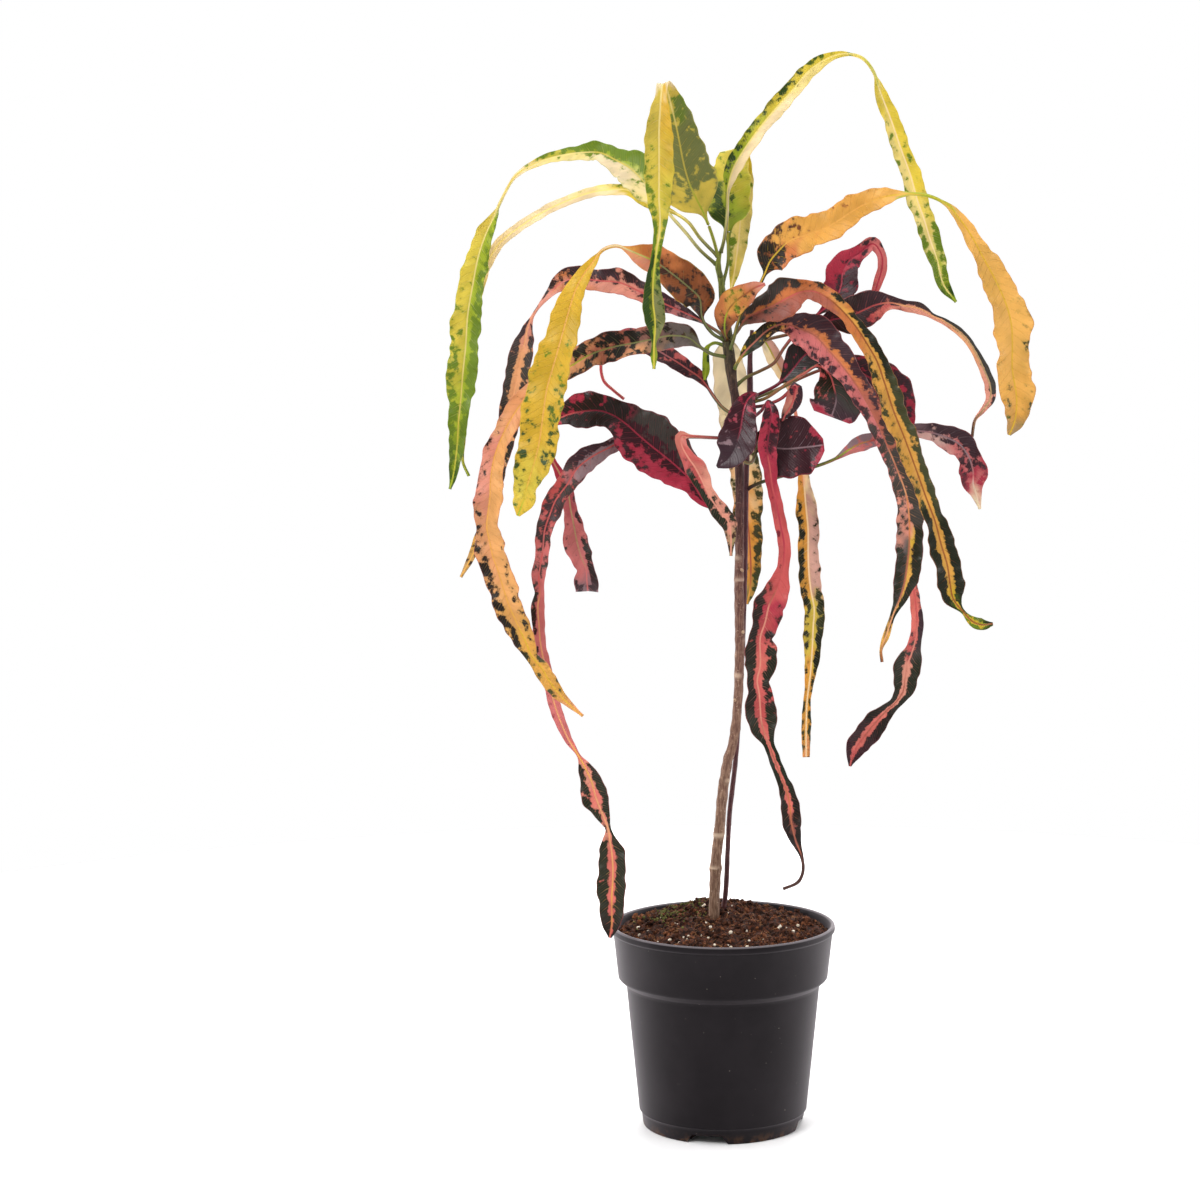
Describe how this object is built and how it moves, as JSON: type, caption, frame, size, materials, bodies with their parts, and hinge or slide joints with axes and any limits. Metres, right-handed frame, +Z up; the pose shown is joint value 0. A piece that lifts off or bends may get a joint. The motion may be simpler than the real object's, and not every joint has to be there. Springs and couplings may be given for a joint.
{
  "type": "potted croton",
  "caption": "Potted croton: slender upright stems in a round tapered nursery pot, with long curled and waved drooping leaves in yellow, orange, rose and dark green.",
  "frame": {"origin": "middle of the pot's foot, on the surface it stands on", "axes": "+Z up along the stems, -Y towards the front, +X to the right seen from the front"},
  "size_m": [0.4357, 0.2427, 0.808],
  "materials": {
    "pot": "charcoal black moulded plastic, satin, with a lighter worn lip",
    "potting_mix": "moist red-brown peat and bark mix, rough and matt",
    "stem": "dark brown bark with pale ring scars, matt",
    "young_stem": "smooth dark maroon young wood, satin",
    "leaf_yellow_green": "leathery blade, yellow with green mottling, soft gloss",
    "leaf_yellow": "leathery blade, cream yellow with green margins, soft gloss",
    "leaf_amber": "leathery blade, amber to orange with dark blotches, soft gloss",
    "leaf_rose": "leathery blade, rose red with dark margins and blotches, soft gloss",
    "leaf_dark": "leathery blade, dark maroon green with a red midrib, soft gloss"
  },
  "bodies": {
    "root": {"pot": "pot", "potting_mix": "potting_mix", "main_stem": "stem", "second_stem": "young_stem", "leaf_left_arch": "leaf_yellow_green", "leaf_left_arch_back": "leaf_yellow", "leaf_crown_fold": "leaf_yellow_green", "leaf_right_arch": "leaf_yellow", "leaf_crown": "leaf_yellow_green", "leaf_right_amber": "leaf_amber", "leaf_left_yellow": "leaf_amber", "leaf_left_salmon": "leaf_amber", "leaf_left_rose": "leaf_rose", "leaf_left_long": "leaf_rose", "leaf_left_dark": "leaf_dark", "leaf_left_small": "leaf_rose", "leaf_left_curl": "leaf_rose", "leaf_right_orange": "leaf_amber", "leaf_right_spotted": "leaf_dark", "leaf_right_crimson": "leaf_rose", "leaf_right_far": "leaf_dark", "leaf_right_point": "leaf_dark", "leaf_right_heart": "leaf_dark", "leaf_right_bud": "leaf_rose", "leaf_front_fold": "leaf_dark", "leaf_front_dark": "leaf_dark", "leaf_front_long": "leaf_rose", "leaf_right_grey": "leaf_rose", "leaf_right_low": "leaf_rose", "leaf_middle_cream": "leaf_yellow", "leaf_back_cream": "leaf_yellow", "leaf_side_green": "leaf_yellow_green", "leaf_front_amber": "leaf_amber"}
  },
  "joints": []
}
